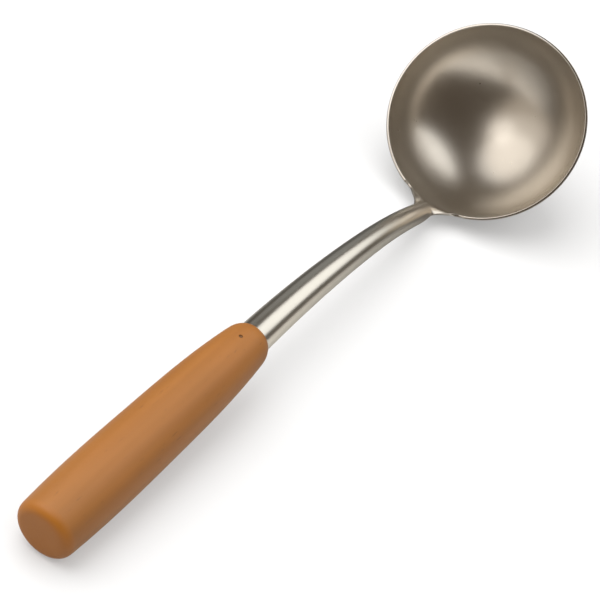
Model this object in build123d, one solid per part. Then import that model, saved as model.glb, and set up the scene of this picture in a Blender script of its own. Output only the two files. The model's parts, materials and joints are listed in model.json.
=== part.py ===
from build123d import *

import os
from math import cos, pi, radians, sin, sqrt

# Soup ladle. A round bowl and its neck are pressed from one steel sheet. Past the bowl the sheet
# curls back into a tube with its seam underneath, and the tube runs into a turned beech handle and
# is held there by one pin. The ladle lies as on a table, on the bowl's bottom and the handle's butt.
# It is drawn with the rim level and the handle towards -X, and tipped to its resting pose at the end.
# All lengths are in millimetres and all angles in degrees.

# Sheet
sheet_thickness = 1.5

# Bowl, measured outside
rim_diameter = 110.0
bowl_depth = 40.0
crown_angle = 45.0  # from the bottom to where the crown's arc meets the side's arc
wall_angle = 80.0  # slope of the wall where it reaches the rim

# Neck and shank: the line along the top of the steel bends down through three arcs
neck_bend_radius = 46.0
neck_bend_angle = 12.9
shoulder_radius = 272.0
shoulder_angle = 13.3
shank_bend_radius = 460.0
shank_bend_angle = 13.3

# Flare: the strip of sheet that leaves the rim and narrows to the tube
flare_half_width = 15.5
flare_length = 9.6
flare_sweep = 2.8  # power by which it narrows: a high power narrows it mostly close to the rim
curl_delay = 1.7  # power by which it curls: a high power keeps it open close to the rim
flare_curl = 85.0  # how far each edge has curled round by the end of the flare
closing_length = 37.0  # from the end of the flare to where the two edges meet

# Tube
tube_neck_diameter = 10.5
tube_diameter = 17.6
seam_gap = 0.5

# Handle
handle_length = 158.5
shoulder_diameter = 24.2
front_round_length = 6.5
front_lip = 0.4
waist_diameter = 29.8
waist_share = 0.243  # places along the handle, as shares of its length from the front
middle_diameter = 32.2
middle_share = 0.495
belly_diameter = 33.2
belly_share = 0.748
butt_diameter = 31.2
butt_round = 5.0
front_past_bend = 1.5
tang_length = 60.0
bore_clearance = 0.1
bore_end_room = 2.0

# Pin, driven from above through the wood and both walls of the tube
pin_diameter = 2.0
pin_from_front = 13.0
pin_inset = 0.3
pin_past_tube = 1.6
pin_chamfer = 0.3
pin_clearance = 0.05
pin_end_room = 0.3

# Sections along the sheet, and how finely the resting pose is worked out
flare_steps = 6
closing_steps = 5
tube_steps = 4
outline_steps = 400
halvings = 40

# Sizes worked out from the ones above
rim_radius = rim_diameter / 2
bore_radius = tube_diameter / 2 + bore_clearance
pin_hole_radius = pin_diameter / 2 + pin_clearance
neck_arcs = (
    (neck_bend_radius, neck_bend_angle),
    (shoulder_radius, shoulder_angle),
    (shank_bend_radius, shank_bend_angle),
)
shank_length = sum(radius * radians(turn) for radius, turn in neck_arcs)


def on_circle(centre, radius, angle):
    """Point on a circle, by the angle from its lowest point."""
    return centre + Vector(sin(radians(angle)), -cos(radians(angle))) * radius


def bowl_circles():
    """Centres and radii of the crown and side arcs, which meet smoothly and give the stated depth."""
    crown, wall = radians(crown_angle), radians(wall_angle)
    across = sin(wall) - sin(crown)
    down = cos(crown) - cos(wall)
    excess = bowl_depth * sin(crown) - rim_radius * (1 - cos(crown))
    side_radius = excess / (down * sin(crown) - across * (1 - cos(crown)))
    crown_radius = (rim_radius - side_radius * across) / sin(crown)
    crown_centre = Vector(0, crown_radius - bowl_depth)
    side_centre = on_circle(crown_centre, crown_radius - side_radius, crown_angle)
    return crown_centre, crown_radius, side_centre, side_radius


def bowl_curve(inset):
    """Half section of the bowl from its bottom up to the level rim, inset from the outside."""
    crown_centre, crown_radius, side_centre, side_radius = bowl_circles()
    crown_reach, side_reach = crown_radius - inset, side_radius - inset
    rim_point = Vector(side_centre.X + sqrt(side_reach**2 - side_centre.Y**2), 0)
    meeting = on_circle(crown_centre, crown_reach, crown_angle)
    crown = ThreePointArc(
        on_circle(crown_centre, crown_reach, 0),
        on_circle(crown_centre, crown_reach, crown_angle / 2),
        meeting,
    )
    side_middle = on_circle(side_centre, side_reach, (crown_angle + wall_angle) / 2)
    return crown, ThreePointArc(meeting, side_middle, rim_point)


def bowl_shell():
    outer_crown, outer_side = bowl_curve(0)
    inner_crown, inner_side = bowl_curve(sheet_thickness)
    bottom = Line(inner_crown @ 0, outer_crown @ 0)
    rim = Line(outer_side @ 1, inner_side @ 1)
    profile = make_face([outer_crown, outer_side, rim, inner_side, inner_crown, bottom])
    return revolve(Plane.XZ * profile, Axis.Z)


inner_rim_radius = (bowl_curve(sheet_thickness)[1] @ 1).X


def top_line(distance):
    """Point on the top of the neck and the slope there, by the distance along it from the rim."""
    x, z, slope = -inner_rim_radius, 0, radians(wall_angle)
    for radius, turn in neck_arcs:
        step = min(distance, radius * radians(turn))
        new_slope = slope - step / radius
        x -= radius * (sin(slope) - sin(new_slope))
        z += radius * (cos(new_slope) - cos(slope))
        slope, distance = new_slope, distance - step
    return Vector(x - distance * cos(slope), 0, z + distance * sin(slope)), slope


def cross_plane(point, slope):
    """Plane square to the neck: its x runs across the ladle and its y points up out of the steel."""
    return Plane(point, x_dir=(0, 1, 0), z_dir=(cos(slope), 0, -sin(slope)))


def tube_radius(distance):
    """Radius of the middle of the tube's wall, which widens evenly along the shank."""
    share = min(1, distance / shank_length)
    diameter = tube_neck_diameter + (tube_diameter - tube_neck_diameter) * share
    return (diameter - sheet_thickness) / 2


def curled_strip(curvature, half_width, thickness):
    """Flat section of the sheet, curled about its middle line, with its top at the origin."""
    radius = 1 / curvature
    half_turn = half_width * curvature
    top_radius, under_radius = radius + thickness / 2, radius - thickness / 2

    def at(reach, turn):
        return Vector(reach * sin(turn), reach * cos(turn) - top_radius)

    def half_arc(reach, start, end):
        return ThreePointArc(at(reach, start), at(reach, (start + end) / 2), at(reach, end))

    return Wire(
        [
            half_arc(top_radius, -half_turn, 0),
            half_arc(top_radius, 0, half_turn),
            Line(at(top_radius, half_turn), at(under_radius, half_turn)),
            half_arc(under_radius, half_turn, 0),
            half_arc(under_radius, 0, -half_turn),
            Line(at(under_radius, -half_turn), at(top_radius, -half_turn)),
        ]
    )


def flare_section(share):
    """Section of the flare. It follows the rim's circle at share 0 and is a curled strip at share 1."""
    point, slope = top_line(share * flare_length)
    rim_wall = rim_radius - inner_rim_radius
    rim_curvature = -2 / (rim_radius + inner_rim_radius)
    tube_curvature = 1 / tube_radius(share * flare_length)
    curvature = rim_curvature + (tube_curvature - rim_curvature) * share**curl_delay
    narrow = radians(flare_curl) * tube_radius(flare_length)
    half_width = narrow + (flare_half_width - narrow) * (1 - share) ** flare_sweep
    thickness = rim_wall + (sheet_thickness - rim_wall) * share
    level = radians(90)
    plane = cross_plane(point, level + (slope - level) * share)
    return plane * curled_strip(curvature, half_width, thickness)


def tube_section(distance):
    """Section past the flare. The edges curl on until they meet at the seam underneath."""
    point, slope = top_line(distance)
    radius = tube_radius(distance)
    closed = pi - seam_gap / 2 / radius
    closing_share = min(1, (distance - flare_length) / closing_length)
    start = radians(flare_curl)
    half_turn = start + (closed - start) * (1 - (1 - closing_share) ** 2)
    return cross_plane(point, slope) * curled_strip(1 / radius, half_turn * radius, sheet_thickness)


def strip_section(distance):
    """Closed outline of the sheet across the neck, by the distance along the neck from the rim."""
    if distance < flare_length:
        return flare_section(distance / flare_length)
    return tube_section(distance)


def even_stops(start, end, count):
    return [start + (end - start) * step / count for step in range(count + 1)]


def neck_and_tube():
    """Flare, curling strip, closed tube and straight tang, each lofted through its own sections."""
    closed_from = flare_length + closing_length
    tang_end = shank_length + front_past_bend + tang_length
    runs = (
        even_stops(0, flare_length, flare_steps),
        even_stops(flare_length, closed_from, closing_steps),
        even_stops(closed_from, shank_length, tube_steps),
        [shank_length, tang_end],
    )
    return [Solid.make_loft([strip_section(distance) for distance in run]) for run in runs]


def wood_front():
    """Plane across the wood's front. Its x points up out of the handle and its z runs to the butt."""
    top_point, slope = top_line(shank_length + front_past_bend)
    up = Vector(sin(slope), 0, cos(slope))
    return Plane(top_point - up * tube_diameter / 2, x_dir=up, z_dir=(-cos(slope), 0, sin(slope)))


def handle_curves():
    """Outline of the turned wood, drawn as radius and distance from the front."""
    shoulder = Vector(shoulder_diameter / 2, front_round_length)
    butt_start = Vector(butt_diameter / 2, handle_length - butt_round)
    grip = Spline(
        shoulder,
        Vector(waist_diameter / 2, waist_share * handle_length),
        Vector(middle_diameter / 2, middle_share * handle_length),
        Vector(belly_diameter / 2, belly_share * handle_length),
        butt_start,
    )
    nose = TangentArc(shoulder, Vector(bore_radius + front_lip, 0), tangent=grip % 0 * -1)
    butt_end = Vector(butt_diameter / 2 - butt_round, handle_length)
    return nose, grip, TangentArc(butt_start, butt_end, tangent=grip % 1)


def wood_radius(distance):
    """Radius of the grip at a distance from the front, found by halving along its curve."""
    grip = handle_curves()[1]
    low, high = 0, 1
    for _ in range(halvings):
        middle = (low + high) / 2
        low, high = (middle, high) if (grip @ middle).Y < distance else (low, middle)
    return (grip @ low).X


def handle():
    nose, grip, butt = handle_curves()
    bore_depth = tang_length + bore_end_room
    bore = Polyline(nose @ 1, (bore_radius, 0), (bore_radius, bore_depth), (0, bore_depth))
    end_face = Polyline((0, bore_depth), (0, handle_length), butt @ 1)
    return revolve(Plane.XZ * make_face([nose, grip, butt, bore, end_face]), Axis.Z)


def pin_shape(radius, top, bottom):
    """Round bar across the handle, from its top height down to its bottom height."""
    foot = Plane((bottom, 0, pin_from_front), x_dir=(0, 1, 0), z_dir=(1, 0, 0))
    return foot * extrude(Circle(radius), top - bottom)


def mirrored(curves):
    """Drawn outlines set upright in the mirror plane, on its -X side."""
    return [mirror(Plane.XZ * curve, Plane.YZ) for curve in curves]


def lowest(curves, tilt):
    """Lowest height of an outline in the mirror plane once the ladle is tipped."""
    points = [curve @ (step / outline_steps) for curve in curves for step in range(outline_steps + 1)]
    return min(point.X * sin(radians(tilt)) + point.Z * cos(radians(tilt)) for point in points)


def resting_tilt(bowl_outline, handle_outline):
    """Tilt at which the bowl and the handle both touch the table."""
    level, upright = 0, 90
    for _ in range(halvings):
        middle = (level + upright) / 2
        bowl_lower = lowest(bowl_outline, middle) < lowest(handle_outline, middle)
        level, upright = (middle, upright) if bowl_lower else (level, middle)
    return level


# Steel
steel = bowl_shell() + neck_and_tube()

# Wood and pin, built along the handle's own axis
front = wood_front()
pin_top = wood_radius(pin_from_front) - pin_inset
pin_bottom = -(tube_diameter / 2 + pin_past_tube)
pin_hole = pin_shape(pin_hole_radius, wood_radius(pin_from_front) + pin_inset, pin_bottom - pin_end_room)
pin = pin_shape(pin_diameter / 2, pin_top, pin_bottom)
pin = chamfer(pin.edges().filter_by(GeomType.CIRCLE), pin_chamfer)

# Resting pose: bowl and butt on the table, the middle of the whole ladle above the origin
bowl_outline = mirrored(bowl_curve(0))
tilt = resting_tilt(bowl_outline, [front * curve for curve in mirrored(handle_curves())])
tip = Rot(0, -tilt, 0)
steel = tip * (steel - front * pin_hole)
wood = tip * (front * (handle() - pin_hole))
pin = tip * (front * pin)
extent = Compound([*steel.solids(), *wood.solids(), *pin.solids()]).bounding_box()
drop = Pos(-extent.center().X, 0, -lowest(bowl_outline, tilt))

os.makedirs("parts", exist_ok=True)
export_step(drop * steel, "parts/bowl_and_shank.step")
export_step(drop * wood, "parts/handle.step")
export_step(drop * pin, "parts/handle_pin.step")
print("tilt", round(tilt, 3), "length", round(extent.size.X, 2), "width", round(extent.size.Y, 2))
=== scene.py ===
# %% [markdown]
# A soup ladle: a round steel bowl whose sheet runs on into a rolled tube, and a turned beech handle.
# The CAD model is loaded first, as the fixed frame. It has the true sizes and places, and what is
# modelled here is a dressed copy of it: the same shapes with softened edges and real finishes.

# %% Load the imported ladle
import json
from math import acos, atan2, cos, degrees, pi, radians, sin

import bpy
from mathutils import Matrix, Vector


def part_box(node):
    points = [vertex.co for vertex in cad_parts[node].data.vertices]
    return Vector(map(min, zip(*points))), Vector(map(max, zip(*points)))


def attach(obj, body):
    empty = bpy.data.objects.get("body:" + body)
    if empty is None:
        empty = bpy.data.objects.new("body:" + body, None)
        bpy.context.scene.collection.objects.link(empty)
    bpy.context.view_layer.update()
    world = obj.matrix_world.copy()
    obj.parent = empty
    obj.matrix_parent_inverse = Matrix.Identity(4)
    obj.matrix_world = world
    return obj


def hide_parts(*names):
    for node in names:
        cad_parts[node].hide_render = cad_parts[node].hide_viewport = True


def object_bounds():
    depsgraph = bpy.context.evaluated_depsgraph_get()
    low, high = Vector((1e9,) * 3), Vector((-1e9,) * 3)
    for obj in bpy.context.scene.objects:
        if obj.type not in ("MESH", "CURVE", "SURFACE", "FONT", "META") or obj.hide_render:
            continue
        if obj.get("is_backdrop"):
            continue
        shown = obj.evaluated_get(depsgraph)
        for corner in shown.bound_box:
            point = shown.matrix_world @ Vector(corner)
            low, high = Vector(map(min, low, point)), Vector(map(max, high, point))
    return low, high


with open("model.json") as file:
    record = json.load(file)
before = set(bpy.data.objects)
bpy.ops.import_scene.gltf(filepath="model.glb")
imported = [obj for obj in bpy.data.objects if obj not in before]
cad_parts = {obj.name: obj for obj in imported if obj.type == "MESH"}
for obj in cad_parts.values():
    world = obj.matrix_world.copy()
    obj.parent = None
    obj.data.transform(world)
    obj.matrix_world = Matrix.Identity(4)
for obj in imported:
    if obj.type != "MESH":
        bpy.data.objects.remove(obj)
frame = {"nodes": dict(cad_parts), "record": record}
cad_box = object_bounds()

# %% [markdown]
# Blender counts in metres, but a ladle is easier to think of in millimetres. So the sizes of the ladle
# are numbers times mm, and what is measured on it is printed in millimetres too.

mm = 0.001


def in_mm(lengths):
    return [round(length / mm, 1) for length in lengths]


print("CAD box", [in_mm(corner) for corner in cad_box], "mm")

# %% [markdown]
# The steel is drawn as the ladle's maker would: with the rim level and the handle to the left. The
# whole piece is tipped to its resting pose at the end. Cut through the middle, the side of the bowl is
# two arcs that run smoothly into each other: a wide one for the bottom, the crown, and a tighter one
# for the wall. The angles where they meet and where they end are chosen, and then only one pair of
# radii gives a bowl of the right width and depth.

# %% Sizes of the bowl
sheet_thickness = 1.5 * mm
rim_diameter = 110 * mm
bowl_depth = 40 * mm
crown_angle = radians(45)
wall_angle = radians(80)
across = sin(wall_angle) - sin(crown_angle)
down = cos(crown_angle) - cos(wall_angle)
flattening = 1 - cos(crown_angle)
side_radius = (bowl_depth * sin(crown_angle) - rim_diameter / 2 * flattening) / (
    down * sin(crown_angle) - across * flattening
)
crown_radius = (rim_diameter / 2 - side_radius * across) / sin(crown_angle)
crown_centre = Vector((0, 0, crown_radius - bowl_depth))
side_centre = crown_centre + (crown_radius - side_radius) * Vector((sin(crown_angle), 0, -cos(crown_angle)))
print("radius of the bottom and of the wall", in_mm((crown_radius, side_radius)), "mm")

# %% [markdown]
# Every outline here starts as one point that is swung about a centre. Blender has no tool for a
# single point, so a tiny square is added and merged to its middle. Spin then draws an arc with it, or
# swings a whole outline round into a bowl.


# %% Start a piece, add a point and swing it
def start_piece(name):
    """An empty mesh object in edit mode, with nothing else selected."""
    bpy.ops.object.select_all(action="DESELECT")
    bpy.ops.mesh.primitive_plane_add(size=mm)
    piece = bpy.context.object
    piece.name = name
    piece.data.name = name
    bpy.ops.object.mode_set(mode="EDIT")
    bpy.ops.mesh.select_mode(type="VERT")
    bpy.ops.mesh.select_all(action="SELECT")
    bpy.ops.mesh.delete(type="VERT")
    return piece


def add_point(place):
    bpy.ops.mesh.primitive_plane_add(size=mm, location=place)
    bpy.ops.mesh.merge(type="CENTER")


def swing(centre, axis, angle, steps):
    """Draws on from what is selected by turning it about an axis. The far end stays selected.
    The angle follows a right-hand screw, and Spin turns the other way, hence the minus."""
    bpy.ops.mesh.spin(steps=steps, angle=-angle, center=centre, axis=axis, use_auto_merge=False)


# %% [markdown]
# Two more helpers serve every piece. By hand, edges are picked with the mouse. In a script they are
# picked by a test of where they lie, which goes on working when a size changes. And every modifier is
# applied at once, so that each step starts from a plain mesh.


# %% Select edges by place, and apply modifiers
def select_edges(piece, wanted):
    """Selects the edges with both ends where wanted(place) is true."""
    bpy.ops.mesh.select_all(action="DESELECT")
    bpy.ops.mesh.select_mode(type="EDGE")
    bpy.ops.object.mode_set(mode="OBJECT")
    mesh = piece.data
    chosen = [wanted(vertex.co) for vertex in mesh.vertices]
    for edge in mesh.edges:
        edge.select = all(chosen[index] for index in edge.vertices)
    bpy.ops.object.mode_set(mode="EDIT")


def apply_modifier(piece, kind, **settings):
    modifier = piece.modifiers.new(kind.title(), kind)
    for name, value in settings.items():
        setattr(modifier, name, value)
    bpy.ops.object.modifier_apply(modifier=modifier.name)


# %% [markdown]
# The bowl is pressed from flat sheet. Here the middle of the sheet is modelled first, without any
# thickness: half an outline from the bottom to the rim, swung once round the upright axis. The rim is
# cut so finely that a whole number of its edges is as wide as the neck. A tiny hole is left at the
# bottom until the sheet is smoothed, because a point where so many faces meet smooths badly.

# %% Bowl
strip_edges = 16
rim_edges = 176
crown_steps = 12
side_steps = 8
upright = (0, 0, 1)
sideways = (0, 1, 0)
closeness = 0.01 * mm
middle_of_sheet = sheet_thickness / 2
rim_angle = acos(side_centre.z / (side_radius - middle_of_sheet))
bottom_hole_angle = radians(1)
outward = Vector((sin(bottom_hole_angle), 0, -cos(bottom_hole_angle)))

steel = start_piece("bowl_and_shank_sheet")
add_point(crown_centre + outward * (crown_radius - middle_of_sheet))
swing(crown_centre, sideways, bottom_hole_angle - crown_angle, crown_steps)
swing(side_centre, sideways, crown_angle - rim_angle, side_steps)
bpy.ops.mesh.select_all(action="SELECT")
swing((0, 0, 0), upright, 2 * pi, rim_edges)
bpy.ops.mesh.select_all(action="SELECT")
bpy.ops.mesh.remove_doubles(threshold=closeness)
bpy.ops.object.mode_set(mode="OBJECT")
reach = [max(vertex.co[axis] for vertex in steel.data.vertices) for axis in range(3)]
print("bowl reaches", in_mm(reach), "mm")

# %% [markdown]
# At the back the sheet doesn't stop at the rim but goes on as the neck and the shank. Seen from the
# side, their top is a line of three arcs. It leaves the rim nearly upright, as steep as the wall, and
# bends over towards the handle, tightly at first and then ever more gently. A function gives the point
# at any distance along the line, so that sections can be put anywhere on it.

# %% Line along the top of the neck
neck_bends = ((46 * mm, radians(12.9)), (272 * mm, radians(13.3)), (460 * mm, radians(13.3)))
shank_length = sum(radius * turn for radius, turn in neck_bends)
inner_rim_radius = side_centre.x + ((side_radius - sheet_thickness) ** 2 - side_centre.z**2) ** 0.5


def top_line(distance):
    """Point on the top of the neck and the slope there, by the distance along it from the rim."""
    x, z, slope = -inner_rim_radius, 0, wall_angle
    for radius, turn in neck_bends:
        step = min(distance, radius * turn)
        new_slope = slope - step / radius
        x -= radius * (sin(slope) - sin(new_slope))
        z += radius * (cos(new_slope) - cos(slope))
        slope, distance = new_slope, distance - step
    return Vector((x - distance * cos(slope), 0, z + distance * sin(slope))), slope


print("shank", in_mm([shank_length]), "mm, slope at its end", round(degrees(top_line(shank_length)[1]), 1))

# %% [markdown]
# The strip changes twice on its way. In the flare, its first centimetre, it narrows fast from its full
# width and turns from the round of the rim to the opposite curve, as a saddle does. Then its edges curl
# down until they nearly meet underneath. The tube that this makes widens slowly towards the handle, and
# a narrow seam stays open, as on a real rolled shank.

# %% Width and curl of the strip
flare_half_width = 15.5 * mm
flare_length = 9.6 * mm
flare_sweep = 2.8
curl_delay = 1.7
flare_curl = radians(85)
closing_length = 37 * mm
tube_neck_diameter = 10.5 * mm
tube_diameter = 17.6 * mm
seam_gap = 0.5 * mm


def tube_radius(distance):
    """Radius of the middle of the sheet. The two diameters are those of the outside."""
    share = min(1, distance / shank_length)
    return (tube_neck_diameter + (tube_diameter - tube_neck_diameter) * share - sheet_thickness) / 2


def strip_shape(distance):
    """Slope of the section, its curvature and half its width, by the distance along the neck."""
    slope = top_line(distance)[1]
    share = min(1, distance / flare_length)
    rim_curvature = -2 / (rim_diameter / 2 + inner_rim_radius)
    curvature = rim_curvature + (1 / tube_radius(distance) - rim_curvature) * share**curl_delay
    if share < 1:
        narrow = flare_curl * tube_radius(flare_length)
        half_width = narrow + (flare_half_width - narrow) * (1 - share) ** flare_sweep
        return pi / 2 + (slope - pi / 2) * share, curvature, half_width
    closed = pi - seam_gap / 2 / tube_radius(distance)
    still_open = 1 - min(1, (distance - flare_length) / closing_length)
    half_turn = closed - (closed - flare_curl) * still_open**2
    return slope, curvature, half_turn * tube_radius(distance)


print("half width at the rim, in the flare and on the tube", end=" ")
print(in_mm(strip_shape(distance)[2] for distance in (0, flare_length / 2, shank_length)), "mm")

# %% [markdown]
# Each section of the strip is again one point swung about a centre, from one edge of the strip to the
# other. Subdivision smooths the steps away later, and that pulls a curved section in a little, so each
# one is drawn fuller by just that much.


# %% Draw a section
def section_circle(distance):
    """Centre, direction along the neck, upward direction, radius and half the turn of a section."""
    slope, curvature, half_width = strip_shape(distance)
    up = Vector((sin(slope), 0, cos(slope)))
    along = Vector((cos(slope), 0, -sin(slope)))
    centre = top_line(distance)[0] - up * (1 / curvature + middle_of_sheet)
    half_turn = half_width * curvature
    fuller = 3 / (2 + cos(2 * half_turn / strip_edges))
    return centre, along, up, fuller / curvature, half_turn


def draw_section(distance):
    """One section of the strip, as a chain of edges from one edge of the sheet to the other."""
    centre, along, up, radius, half_turn = section_circle(distance)
    add_point(centre + (up * cos(half_turn) - Vector(sideways) * sin(half_turn)) * radius)
    swing(centre, along, -2 * half_turn, strip_edges)


# %% [markdown]
# Two neighbouring sections are bridged with faces, and for that their edges have to be found again. A
# place belongs to a section if it lies in the section's plane and as far from its centre as the radius
# says. The first section is bridged to the stretch of the rim that the strip leaves from.


# %% Find a section again
def on_section(distance):
    """Tells whether a place lies on the section at that distance."""
    centre, along, up, radius, half_turn = section_circle(distance)

    def wanted(place):
        offset = place - centre
        height = offset.dot(along)
        return abs(height) < closeness and abs((offset - along * height).length - abs(radius)) < closeness

    return wanted


def on_strip_start(place):
    """Tells whether a place lies on the stretch of the rim that the strip leaves from."""
    half_chord = rim_diameter / 2 * sin(pi * (strip_edges + 1) / rim_edges)
    return abs(place.z) < closeness and place.x < 0 and abs(place.y) < half_chord


# %% [markdown]
# Now the sections are drawn one by one, and each is bridged to the one before. They stand close together
# in the flare, where the shape changes fast, and far apart on the even tube. The last stretch is the
# tang, the straight end of the tube that the handle hides.

# %% Neck and tube
tang_length = 61.5 * mm
tube_start = flare_length + closing_length
stretches = (
    (0, flare_length, 6),
    (flare_length, closing_length, 9),
    (tube_start, shank_length - tube_start, 20),
    (shank_length, tang_length, 4),
)
bpy.ops.object.mode_set(mode="EDIT")
last_chain = on_strip_start
for start, length, rows in stretches:
    for row in range(1, rows + 1):
        distance = start + length * row / rows
        bpy.ops.mesh.select_mode(type="VERT")
        draw_section(distance)
        chain = on_section(distance)
        select_edges(steel, lambda place: last_chain(place) or chain(place))
        bpy.ops.mesh.bridge_edge_loops()
        last_chain = chain
bpy.ops.mesh.select_all(action="SELECT")
bpy.ops.mesh.normals_make_consistent(inside=False)
bpy.ops.object.mode_set(mode="OBJECT")
print("sheet of", len(steel.data.polygons), "faces")

# %% [markdown]
# One level of Subdivision smooths the whole sheet. It leaves a slight pinch where the edge of the neck
# turns into the rim, so the few points near that corner are evened out with Smooth Vertices. A wider
# reach would flatten the rim. Last, the tiny hole at the bottom is closed: its edge is extruded, and
# the new points are merged to one.

# %% Smooth the sheet and close its bottom
corner_reach = 3.5 * mm
bottom_hole_reach = 1.05 * crown_radius * sin(bottom_hole_angle)
neck_half_turn = pi * strip_edges / rim_edges
neck_corner = rim_diameter / 2 * Vector((-cos(neck_half_turn), sin(neck_half_turn), 0))


def near_neck_corner(place):
    """Tells whether a place lies close to where the edge of the neck leaves the rim, on either side."""
    return (Vector((place.x, abs(place.y), place.z)) - neck_corner).length < corner_reach


def round_bottom_hole(place):
    """Tells whether a place lies on the edge of the tiny hole at the bottom of the bowl."""
    return Vector(place).xy.length < bottom_hole_reach


apply_modifier(steel, "SUBSURF", levels=1, render_levels=1)
bpy.ops.object.mode_set(mode="EDIT")
select_edges(steel, near_neck_corner)
bpy.ops.mesh.vertices_smooth(factor=0.5, repeat=6)
select_edges(steel, round_bottom_hole)
bpy.ops.mesh.extrude_edges_move()
bpy.ops.mesh.merge(type="CENTER")
bpy.ops.mesh.select_all(action="SELECT")
bpy.ops.mesh.normals_make_consistent(inside=False)
bpy.ops.object.mode_set(mode="OBJECT")
print("smoothed sheet of", len(steel.data.polygons), "faces")

# %% [markdown]
# Solidify gives the sheet its body, half to each side, and a small bevel takes the sharpness off every
# cut edge, as tumbling does to the real one. Both modifiers can put the faces that they make into a
# material slot of their own, and that is a handy way to tell them apart. It is kept as a number on each
# face, cut_edge, which the finish reads: 0 on the sheet, a half on the cut face and 1 on its rounding.

# %% Thickness and edges of the sheet
edge_round = 0.35 * mm
sharp_angle = radians(50)
cut_slot, rounding_slot = 1, 2
for slot in range(rounding_slot + 1):
    steel.data.materials.append(None)
apply_modifier(
    steel, "SOLIDIFY", thickness=sheet_thickness, offset=0, use_even_offset=True, material_offset_rim=cut_slot
)
apply_modifier(
    steel,
    "BEVEL",
    width=edge_round,
    segments=3,
    limit_method="ANGLE",
    angle_limit=sharp_angle,
    material=rounding_slot,
)
cut_edge = steel.data.attributes.new("cut_edge", "FLOAT", "FACE")
for face, mark in zip(steel.data.polygons, cut_edge.data):
    mark.value = face.material_index / rounding_slot
    face.material_index = 0
bpy.ops.object.shade_smooth()
print("cut edge has", sum(mark.value > 0 for mark in cut_edge.data), "faces")
print("steel has", sum(len(face.vertices) - 2 for face in steel.data.polygons), "triangles")

# %% [markdown]
# The ladle rests on the bottom of the bowl and the butt of the handle. The record's butt mount gives
# the direction of the handle, which with the slope at the end of the shank gives the tilt. The place
# follows from the tilt: the lip touches the end of the CAD box, and the bottom of the bowl the table.

# %% Tip the steel to its resting pose
butt = frame["record"]["mounts"][0]
butt_centre = Vector(butt["pos_m"])
handle_way = Vector(butt["axis"])
tilt = top_line(shank_length)[1] + atan2(-handle_way.z, -handle_way.x)
toe = side_centre.x * cos(tilt) - side_centre.z * sin(tilt) + side_radius
lift = crown_radius - crown_centre.z * cos(tilt)
rim_centre = Vector((cad_box[1][0] - toe, 0, lift))
steel.rotation_euler = (0, -tilt, 0)
steel.location = rim_centre
bpy.ops.object.transform_apply()
print("tilt", round(degrees(tilt), 2), "degrees, centre of the rim", in_mm(rim_centre), "mm")

# %% [markdown]
# The grip is turned on a lathe, so all of it is one outline swung round its own axis. The CAD grip
# already has the true outline, so its radius is measured along the axis from there. Places in its bore
# are left out, since the bore is drawn by itself.

# %% Measure the turned outline
handle_length = 158.5 * mm
tube_hole_radius = 8.9 * mm
tube_hole_depth = 62 * mm
bore_margin = 0.05 * mm
same_distance = 0.001 * mm
front_centre = butt_centre - handle_way * handle_length


def outline_of(node):
    """Distance along the handle and radius of every place on the outside of the CAD grip."""
    found = []
    for vertex in node.data.vertices:
        offset = vertex.co - front_centre
        distance = offset.dot(handle_way)
        radius = (offset - handle_way * distance).length
        if radius > tube_hole_radius + bore_margin:
            found.append((distance, radius))
    return sorted(found)


turned_outline = outline_of(frame["nodes"]["handle"])


def turned_radius(distance):
    """Radius of the grip at a distance from its front, between the two nearest measured places."""
    before = max((place for place in turned_outline if place[0] <= distance), default=turned_outline[0])
    after = min((place for place in turned_outline if place[0] > distance), default=turned_outline[-1])
    if after[0] - before[0] < same_distance:
        return before[1]
    share = (distance - before[0]) / (after[0] - before[0])
    return before[1] + (after[1] - before[1]) * share


print("radius of the grip at its front and belly", end=" ")
print(in_mm((turned_radius(0), max(radius for distance, radius in turned_outline))), "mm")

# %% [markdown]
# The grip's outline is a list of places, each a radius and a height along the axis. It starts at the
# bottom of the bore for the tube, goes up the wall of the bore, round the eased front edge, along the
# grip and round the butt to its middle. The steps are close where the wood curves tightly and wide
# where it runs nearly straight, and small corners keep the bore and the butt face crisp.

# %% Outline of the grip
front_steps = [0, 0.2, 0.7, 1.5, 2.7, 4.4, 6.5]
butt_steps = [5, 3.9, 2.9, 2.0, 1.2, 0.6, 0.2]
grip_steps = 20
front_end = front_steps[-1] * mm
butt_start = handle_length - butt_steps[0] * mm
stations = [step * mm for step in front_steps]
stations += [front_end + (butt_start - front_end) * step / grip_steps for step in range(1, grip_steps)]
stations += [handle_length - step * mm for step in butt_steps]
corner = 0.15 * mm
face_radius = turned_radius(handle_length)
outline = [(0, tube_hole_depth), (tube_hole_radius - corner, tube_hole_depth)]
outline += [(tube_hole_radius, tube_hole_depth - corner), (tube_hole_radius, tube_hole_depth / 2)]
outline += [(tube_hole_radius, 2 * corner), (tube_hole_radius, 0)]
outline += [(turned_radius(distance), distance) for distance in stations]
outline += [(face_radius - corner, handle_length), (face_radius / 2, handle_length), (0, handle_length)]
print("outline of", len(outline), "places")

# %% [markdown]
# The outline is drawn by extruding its end point from place to place, and Spin turns it as the lathe
# does. Subdivision then smooths the grip, and as it would pull it in a little, the grip is first made
# wider by just that much.

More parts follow.
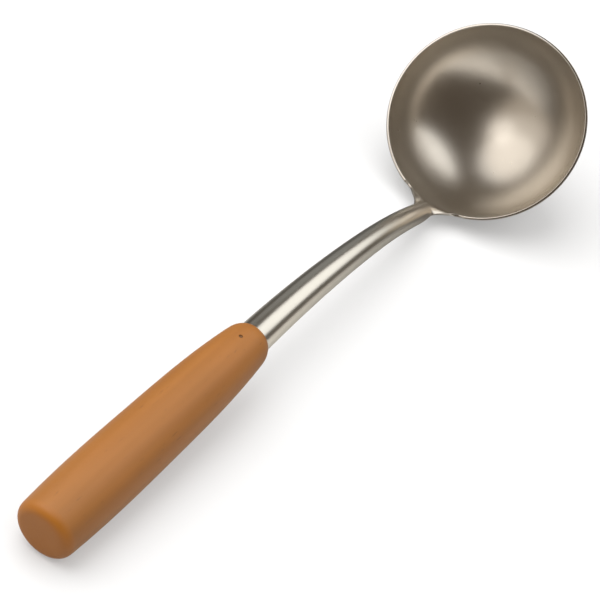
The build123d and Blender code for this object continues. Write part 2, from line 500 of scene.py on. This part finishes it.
# %% Turn the grip
lathe_steps = 48
grip = start_piece("turned_grip")
add_point((0, 0, tube_hole_depth))
for (radius, height), (next_radius, next_height) in zip(outline, outline[1:]):
    move = (next_radius - radius, 0, next_height - height)
    bpy.ops.mesh.extrude_region_move(TRANSFORM_OT_translate={"value": move})
bpy.ops.mesh.select_all(action="SELECT")
swing((0, 0, 0), upright, 2 * pi, lathe_steps)
bpy.ops.mesh.select_all(action="SELECT")
bpy.ops.mesh.remove_doubles(threshold=closeness)
bpy.ops.mesh.normals_make_consistent(inside=False)
fuller = 3 / (2 + cos(2 * pi / lathe_steps))
bpy.ops.transform.resize(value=(fuller, fuller, 1), center_override=(0, 0, 0))
bpy.ops.object.mode_set(mode="OBJECT")
apply_modifier(grip, "SUBSURF", levels=2, render_levels=2)
print("grip of", len(grip.data.polygons), "faces")

# %% [markdown]
# The grip was turned upright, so now it is laid along the handle's direction. Its turn and its move are
# applied, which writes them into the mesh and leaves the object itself at the origin, as a CAD node is.

# %% Lay the grip in place
grip.rotation_euler = handle_way.to_track_quat("Z", "Y").to_euler()
grip.location = front_centre
bpy.ops.object.transform_apply()
print("front of the grip at", in_mm(front_centre), "mm")

# %% [markdown]
# The hole for the pin is drilled with a Boolean, from above and down through the bore, and the CAD pin
# fills it. The drill stands a little above the wood, as a drill starts in the air. Then the grip is
# shaded smooth, except across edges sharper than the crease angle, so the rim of the hole stays crisp.

# %% Drill the hole for the pin
pin_hole_radius = 1.05 * mm
drill_overrun = 4 * mm
drill_rise = 1.6 * mm
crease_angle = radians(40)
pin_low, pin_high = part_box("handle_pin")
handle_up = Vector((handle_way.z, 0, -handle_way.x))
drill_length = (pin_high - pin_low).length + drill_overrun
bpy.ops.object.select_all(action="DESELECT")
bpy.ops.mesh.primitive_cylinder_add(vertices=32, radius=pin_hole_radius, depth=drill_length)
drill = bpy.context.object
drill.rotation_euler = handle_up.to_track_quat("Z", "Y").to_euler()
drill.location = (pin_low + pin_high) / 2 + handle_up * drill_rise
bpy.ops.object.transform_apply()
bpy.ops.object.select_all(action="DESELECT")
grip.select_set(True)
bpy.context.view_layer.objects.active = grip
apply_modifier(grip, "BOOLEAN", operation="DIFFERENCE", solver="EXACT", object=drill)
bpy.data.objects.remove(drill)
bpy.ops.object.shade_smooth_by_angle(angle=crease_angle)
print("grip with its pin hole has", len(grip.data.vertices), "points")

# %% [markdown]
# Finishes are built from nodes. A node's output is wrapped in a small class, so that sums on it read
# as arithmetic: each sum adds a Math node. The turned-round forms let a plain number stand first.


# %% Sums on a node's output
class Signal:
    """A node's output that can be added to, subtracted from and multiplied like a number."""

    def __init__(self, finish, socket):
        self.finish, self.socket = finish, socket

    def sum(self, operation, first, second):
        return self.finish.node("Math", {"operation": operation}, {0: first, 1: second})

    def __add__(self, other):
        return self.sum("ADD", self, other)

    def __radd__(self, other):
        return self.sum("ADD", other, self)

    def __sub__(self, other):
        return self.sum("SUBTRACT", self, other)

    def __rsub__(self, other):
        return self.sum("SUBTRACT", other, self)

    def __mul__(self, other):
        return self.sum("MULTIPLY", self, other)

    def __rmul__(self, other):
        return self.sum("MULTIPLY", other, self)


# %% [markdown]
# Every other node comes from one method, which sets the node's own settings first and then its sockets.
# Sockets are found by name, or by number where names repeat. The few kinds of node that come up again
# and again have a short method of their own, and so has the shader that ends a finish.


# %% Put a finish together
class Finish:
    """A material that is being put together."""

    def __init__(self, name):
        self.material = bpy.data.materials.new(name)
        self.material.use_nodes = True
        self.tree = self.material.node_tree
        self.tree.nodes.clear()

    def node(self, kind, settings=None, inputs=None, output=0):
        node = self.tree.nodes.new("ShaderNode" + kind)
        for name, value in (settings or {}).items():
            if name == "stops":
                self.set_stops(node.color_ramp, value)
            else:
                setattr(node, name, value)
        for name, value in (inputs or {}).items():
            self.feed(self.pick(node.inputs, name), value)
        return Signal(self, self.pick(node.outputs, output))

    @staticmethod
    def pick(sockets, name):
        if isinstance(name, int):
            return [socket for socket in sockets if socket.enabled][name]
        return next(socket for socket in sockets if socket.enabled and socket.name == name)

    def feed(self, socket, value):
        if isinstance(value, Signal):
            self.tree.links.new(value.socket, socket)
        else:
            socket.default_value = value

    @staticmethod
    def set_stops(ramp, stops):
        while len(ramp.elements) < len(stops):
            ramp.elements.new(1)
        for element, (place, grey) in zip(ramp.elements, stops):
            element.position = place
            element.color = (grey, grey, grey, 1)

    def noise(self, place, scale, detail=2.0, roughness=0.5):
        sizes = {"Vector": place, "Scale": scale, "Detail": detail, "Roughness": roughness}
        return self.node("TexNoise", {}, sizes)

    def ramp(self, value, *stops):
        return self.node("ValToRGB", {"stops": stops}, {"Fac": value})

    def mix(self, share, first, second):
        return self.node("Mix", {"data_type": "RGBA"}, {"Factor": share, "A": first, "B": second})

    def surface(self, inputs, second_inputs=None, share=0.0):
        """Ends the finish with one shader, or with two of which the second has a share."""
        shader = self.node("BsdfPrincipled", {}, inputs)
        if second_inputs:
            second = self.node("BsdfPrincipled", {}, second_inputs)
            shader = self.node("MixShader", {}, {0: share, 1: shader, 2: second})
        output = self.tree.nodes.new("ShaderNodeOutputMaterial")
        self.feed(output.inputs["Surface"], shader)
        return self.material


# %% [markdown]
# Colours are easiest to choose on a screen, as three numbers up to 255. Shaders count in amounts of
# light instead, and this is the standard curve from the one to the other. A piece's old materials are
# cleared before it gets its finish.


# %% Colours, and putting a finish on
def colour(red, green, blue):
    """A colour given as 0 to 255, in the linear values that shaders use."""
    linear = [((v / 255 + 0.055) / 1.055) ** 2.4 if v > 10 else v / 255 / 12.92 for v in (red, green, blue)]
    return (*linear, 1)


def put_on(piece, material):
    piece.data.materials.clear()
    piece.data.materials.append(material)
    print(piece.name, "wears", material.name, "with", len(material.node_tree.nodes), "nodes")


# %% [markdown]
# A finish changes from place to place, and a mask says where: a number that is 1 there and 0 elsewhere,
# with a soft step between. A ramp makes a mask of any number. The steel has four. Two of them, for the
# cut face and its rounding, come from the cut_edge number on the faces. The other two come from where a
# place lay when the ladle was drawn with its rim level, which a Mapping node finds by undoing the tilt.
# They tell the tube from the bowl, by how far back it is, and find the band just under the rim.


# %% Masks on the steel
def steel_masks(finish, place):
    """Masks of the cut face, its rounding, the tube and the brushed band under the rim."""
    edge = finish.node("Attribute", {"attribute_name": "cut_edge"}, {}, "Fac")
    cut_face = finish.ramp(edge, (0.0, 0.0), (0.5, 1.0), (1.0, 0.0))
    rounding = finish.ramp(edge, (0.0, 0.0), (0.5, 0.0), (1.0, 1.0))
    from_rim = {"Vector": place, "Location": rim_centre, "Rotation": (0, -tilt, 0)}
    as_drawn = finish.node("Mapping", {"vector_type": "TEXTURE"}, from_rim)
    forward = finish.node("SeparateXYZ", {}, {"Vector": as_drawn}, "X")
    height = finish.node("SeparateXYZ", {}, {"Vector": as_drawn}, "Z")
    on_tube = finish.ramp(forward * (-1 / rim_diameter), (0.0, 0.0), (0.55, 0.0), (0.75, 1.0))
    brushed = finish.ramp(height * (-1 / bowl_depth), (0.0, 0.0), (0.03, 1.0), (0.25, 0.8), (0.55, 0.0))
    return cut_face, rounding, on_tube, brushed


# %% [markdown]
# The steel is satin all over: the sheet is tumbled and lightly polished, so it mirrors its
# surroundings as soft patches, never sharply. A fine tooth in the bump and small changes in roughness
# keep it from looking like plastic, and a very slow ripple stands for the last unevenness of pressing.
# The cut face of the edge is polished smoother than the sheet, and its colour is also painted nearly
# white, a painted highlight. Its rounding is painted a shade darker, painted shade, so the rim shows as
# a fine bright line between darker ones. The tube is a touch less warm than the bowl. Just under the rim
# the wall is brushed duller. A second, rougher shader has a share there, because one shader of middling
# roughness would blur the patches, while two keep them clear and add a faint glow round them.

# %% Satin steel
clouds_per_metre = 28
mottles_per_metre = 240
grains_per_metre = 2600


def satin_steel():
    finish = Finish("satin_steel")
    place = finish.node("TexCoord", {}, {}, "Object")
    cut_face, rounding, on_tube, brushed = steel_masks(finish, place)
    cloud = finish.noise(place, clouds_per_metre, 3.0)
    mottle = finish.noise(place, mottles_per_metre, 4.0, 0.6)
    grain = finish.noise(place, grains_per_metre, 2.0, 0.6)
    bowl_shade = finish.mix(cloud, colour(231, 226, 217), colour(238, 233, 225))
    tube_shade = finish.mix(cloud, colour(227, 225, 217), colour(234, 232, 225))
    shade = finish.mix(on_tube, bowl_shade, tube_shade)
    # Painted highlight: the cut face's colour is raised to nearly white.
    shade = finish.mix(cut_face, shade, colour(250, 249, 246))
    # Painted shade: the rounding beside the cut face is darkened.
    shade = finish.mix(0.25 * rounding, shade, colour(120, 112, 104))
    roughness = 0.25 + 0.05 * mottle + 0.03 * cloud - 0.18 * cut_face
    ripple = finish.node("Bump", {}, {"Strength": 0.10, "Distance": 0.5 * mm, "Height": cloud})
    tooth_sizes = {"Strength": 0.12, "Distance": 0.01 * mm, "Height": grain + 0.6 * mottle}
    tooth = finish.node("Bump", {}, {**tooth_sizes, "Normal": ripple})
    polished = {"Base Color": shade, "Metallic": 1.0, "Roughness": roughness, "Normal": tooth}
    dull = {**polished, "Roughness": 0.32 + roughness}
    return finish.surface(polished, dull, 0.25 * brushed)


put_on(steel, satin_steel())

# %% [markdown]
# The grip is beech, oiled to an orange tan. Beech is even in colour: long faint bands where the growth
# rings are cut, fine pale fibres, and short dark flecks that lie along the grain. One Mapping node
# turns the pattern to lie along the handle. Two more draw it out that way: with a small scale on one
# axis, the noise changes slowly along it. The rings end on the flat butt, which is deeper in colour
# because end grain drinks more oil.

# %% Oiled beech
bands_per_metre = 95
fibres_per_metre = 900
pores_per_metre = 1300
patches_per_metre = 30
squeeze_of_fibres = 0.045
squeeze_of_pores = 0.12


def oiled_beech():
    finish = Finish("oiled_beech")
    on_piece = finish.node("TexCoord", {}, {}, "Object")
    lying = handle_way.to_track_quat("Z", "Y").to_euler()
    from_front = {"Vector": on_piece, "Location": front_centre, "Rotation": lying}
    place = finish.node("Mapping", {"vector_type": "TEXTURE"}, from_front)
    long_way = finish.node("Mapping", {}, {"Vector": place, "Scale": (1, 1, squeeze_of_fibres)})
    middle_way = finish.node("Mapping", {}, {"Vector": place, "Scale": (1, 1, squeeze_of_pores)})
    bands = finish.ramp(finish.noise(long_way, bands_per_metre, 2.0), (0.0, 0.0), (0.34, 0.0), (0.66, 1.0))
    fibres = finish.noise(long_way, fibres_per_metre, 4.0, 0.65)
    pores = finish.noise(middle_way, pores_per_metre, 1.0)
    flecks = finish.ramp(pores, (0.0, 1.0), (0.24, 1.0), (0.28, 0.0), (1.0, 0.0))
    patches = finish.noise(place, patches_per_metre, 2.0)
    along = finish.node("SeparateXYZ", {}, {"Vector": place}, "Z")
    end_grain = finish.ramp(along * (1 / handle_length), (0.965, 0.0), (0.99, 1.0))
    wood = finish.mix(bands, colour(114, 72, 27), colour(129, 84, 35))
    wood = finish.mix(0.35 * fibres, wood, colour(141, 85, 35))
    wood = finish.mix(0.25 * patches, wood, colour(157, 97, 41))
    wood = finish.mix(0.55 * flecks, wood, colour(96, 56, 26))
    wood = finish.mix(0.85 * end_grain, wood, colour(148, 88, 14))
    relief = fibres - 0.8 * flecks
    tooth = finish.node("Bump", {}, {"Strength": 0.25, "Distance": 0.05 * mm, "Height": relief})
    oil = {"Roughness": 0.42 + 0.12 * fibres, "IOR": 1.45}
    return finish.surface({"Base Color": wood, "Normal": tooth, **oil})


put_on(grip, oiled_beech())

# %% [markdown]
# The pin is a short piece of steel wire, knocked in until its end sits just under the wood. Only its
# end shows, dull and brown from the oil that gathers in the little pit. So the shader takes it for
# less than half a metal, and rather rough. Its CAD shape is right as it is, and only its finish is new.

# %% Dull pin
tarnish_per_metre = 900


def dull_wire():
    finish = Finish("dull_wire")
    place = finish.node("TexCoord", {}, {}, "Object")
    tarnish = finish.noise(place, tarnish_per_metre, 3.0)
    shade = finish.mix(tarnish, colour(84, 56, 34), colour(112, 78, 48))
    return finish.surface({"Base Color": shade, "Metallic": 0.4, "Roughness": 0.45 + 0.2 * tarnish})


put_on(frame["nodes"]["handle_pin"], dull_wire())

# %% [markdown]
# Each new piece rides on the ladle's one body and stands for the CAD node that it dresses.

# %% Fix the pieces to the ladle
for piece, node, slot in ((steel, "bowl_and_shank", "steel"), (grip, "handle", "beech")):
    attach(piece, "root")
    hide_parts(node)
    print(piece.name, "stands for", node)

# %% [markdown]
# The ladle lies on a plain white table. Two tables lie there, one on top of the other. The camera sees
# the white one, and the wood gets its light from it. A faint glow of its own makes part of its white,
# so that the shadows on it stay light, as in a bright studio. In mirror images only the other one
# shows, a millimetre lower. Its colour is painted darker towards the far left: painted shade, which
# stands for the light falling off where a lit sheet of paper ends behind the object. The lamps reach it
# because the white one casts no shadow. A ramp counts from 0 to 1, so half a metre is added to the
# distances at which the painted shade deepens.

# %% Two tables
table_width = 6
table_gap = 1 * mm
painted_falloff_turn = radians(-45)
painted_falloff_stops = ((-0.10, 1.0), (0.03, 0.45), (0.10, 0.25), (0.16, 0.0))
ramp_middle = 0.5


def add_table(name, height):
    bpy.ops.object.select_all(action="DESELECT")
    bpy.ops.mesh.primitive_plane_add(size=table_width, location=(0, 0, height))
    table = bpy.context.object
    table.name = name
    table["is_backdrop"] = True
    return table


def plain_paper():
    finish = Finish("plain_paper")
    grey, white = (0.38, 0.38, 0.38, 1), (1, 1, 1, 1)
    glow = {"Emission Color": white, "Emission Strength": 0.31}
    return finish.surface({"Base Color": grey, "Roughness": 0.9, **glow})


def paper_with_painted_falloff():
    finish = Finish("paper_with_painted_falloff")
    place = finish.node("TexCoord", {}, {}, "Object")
    turned = finish.node("Mapping", {}, {"Vector": place, "Rotation": (0, 0, painted_falloff_turn)})
    away = finish.node("SeparateXYZ", {}, {"Vector": turned}, "X")
    # Painted shade: the paper's colour darkens towards the far left, for light that falls off where the sheet
    # ends.
    share = finish.ramp(ramp_middle + away, *((ramp_middle + metres, light) for metres, light in painted_falloff_stops))
    paper = finish.mix(share, (0.03, 0.03, 0.03, 1), (0.95, 0.89, 0.81, 1))
    return finish.surface({"Base Color": paper, "Roughness": 0.9})


white_table = add_table("white_table", 0)
white_table.visible_glossy = False
white_table.visible_shadow = False
put_on(white_table, plain_paper())
mirrored_table = add_table("mirrored_table", -table_gap)
mirrored_table.visible_camera = False
mirrored_table.visible_diffuse = False
put_on(mirrored_table, paper_with_painted_falloff())

# %% [markdown]
# Lamps and camera are placed alike: from a compass direction and a height above the table, both in
# degrees, facing the ladle and rolled about their line of sight. A lamp is a glowing oval. The energy
# that Blender asks for is the light it gives in all, so the brightness that the oval shows is
# multiplied by its area and by pi. Each lamp is then kept either to mirror images or to plain light,
# so that what the steel shows and how the shadows fall can be set apart from each other.

# %% Place lamps by compass
lamp_distance = 1.3
lamp_target = Vector((60 * mm, 0, 40 * mm))


def direction(azimuth, elevation):
    flat = cos(radians(elevation))
    return Vector((cos(radians(azimuth)) * flat, sin(radians(azimuth)) * flat, sin(radians(elevation))))


def facing(way, roll):
    """Rotation of a lamp or a camera that stands in that direction and looks back along it."""
    return way.to_track_quat("Z", "Y").to_matrix() @ Matrix.Rotation(radians(roll), 3, "Z")


def add_lamp(name, azimuth, elevation, roll, size, brightness, tint, mirrored):
    """A lamp that either shows in the steel or lights the table and the wood. The angles are in
    degrees, and the size is the oval's width and height in metres."""
    way = direction(azimuth, elevation)
    bpy.ops.object.light_add(type="AREA", location=lamp_target + way * lamp_distance)
    lamp = bpy.context.object
    lamp.name = name
    lamp.rotation_euler = facing(way, roll).to_euler()
    lamp.data.shape = "ELLIPSE"
    lamp.data.size, lamp.data.size_y = size
    lamp.data.energy = brightness * pi * (pi / 4 * size[0] * size[1])
    lamp.data.color = tint
    lamp.visible_glossy = mirrored
    lamp.visible_diffuse = not mirrored
    return lamp


# %% [markdown]
# Satin steel shows what stands around it, so the lamps matter as shapes too. To the left of the camera
# stands a soft window, which fills the right half of the hollow bowl. It is three ovals, a small bright
# core in a wider glow and a still wider, warmer halo, so that its edge is soft, like that of a
# curtained window. The far lamp shows as the left patch in the bowl and the long streak on the tube,
# and a small rim lamp brightens the flat cut face of the rim. A dim grey wall fills the gap between the
# window and the far lamp, and the rest of the room is dark and warm.

# %% Room and lamps that the steel mirrors
dark_brown = (0.076, 0.060, 0.046, 1)
warm = (1.0, 0.87, 0.72)
warm_white = (1.0, 0.97, 0.93)
soft_white = (1.0, 0.985, 0.95)
cool_white = (0.94, 1, 1)
room = bpy.data.worlds.new("dark_room")
bpy.context.scene.world = room
room.use_nodes = True
room.node_tree.nodes["Background"].inputs["Color"].default_value = dark_brown
# For each lamp: its name, compass direction, height, roll, size, brightness and tint.
add_lamp("window_core", 108, 50, 0, (1.35, 1.35), 0.48, warm_white, mirrored=True)
add_lamp("window_glow", 118, 40, 0, (2.0, 1.8), 0.26, warm_white, mirrored=True)
add_lamp("window_halo", 127, 28, 0, (2.6, 2.3), 0.31, warm, mirrored=True)
add_lamp("far_lamp", -26, 48, -28, (1.5, 1.35), 1.2, soft_white, mirrored=True)
add_lamp("rim_lamp", 158, 45, 0, (0.65, 0.65), 0.6, warm_white, mirrored=True)
add_lamp("grey_wall", 38, 22, 0, (0.8, 0.9), 0.18, cool_white, mirrored=True)

# %% [markdown]
# The table and the wood get their light from three other lamps, which the steel doesn't mirror. The
# table lamp stands at the left and lays the soft shadows to the right of the ladle. The ceiling lamp
# lights everything from above. The fill lamp stands at the right and evens out the light on the wood.
# It casts no shadow, or a second one would fall to the left.

# %% Lamps for the table and the wood
white_light = (1, 1, 1)
add_lamp("table_lamp", 102, 55, 0, (2.3, 2.3), 2.9, white_light, mirrored=False)
add_lamp("ceiling_lamp", 0, 90, 0, (3.2, 3.2), 1.4, white_light, mirrored=False)
fill_lamp = add_lamp("fill_lamp", -75, 35, 0, (2.0, 2.0), 1.0, white_light, mirrored=False)
fill_lamp.data.use_shadow = False

# %% [markdown]
# The camera looks down along the handle from its right, tilted so that the ladle crosses the picture
# from corner to corner. Its place was worked out from the ellipse of the rim and the widths of the
# tube and grip, with a long lens. The standard view keeps the white of the table white.

# %% Camera
camera_azimuth = -157.4
camera_elevation = 42.16
camera_distance = 1.0936
camera_roll = 17.6
camera_lens = 132
film_width = 36
aim_height = 20 * mm
aim_from_rim = Vector((-167.76, 2.23, 0)) * mm
aim = rim_centre + aim_from_rim
aim.z = aim_height
view = direction(camera_azimuth, camera_elevation)
bpy.ops.object.camera_add(location=aim + view * camera_distance)
camera = bpy.context.object
camera.rotation_euler = facing(view, camera_roll).to_euler()
camera.data.lens = camera_lens
camera.data.sensor_width = film_width
camera.data.clip_start = 10 * mm
bpy.context.scene.camera = camera
bpy.context.scene.view_settings.view_transform = "Standard"
print("camera at", in_mm(camera.location), "mm")

# %% [markdown]
# Last, the box round the dressed ladle is printed, to set beside that of the CAD model, because
# dressing a part mustn't change its size.

# %% Print the box of the dressed ladle
dressed_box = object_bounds()
print("dressed box", [in_mm(corner) for corner in dressed_box], "mm")
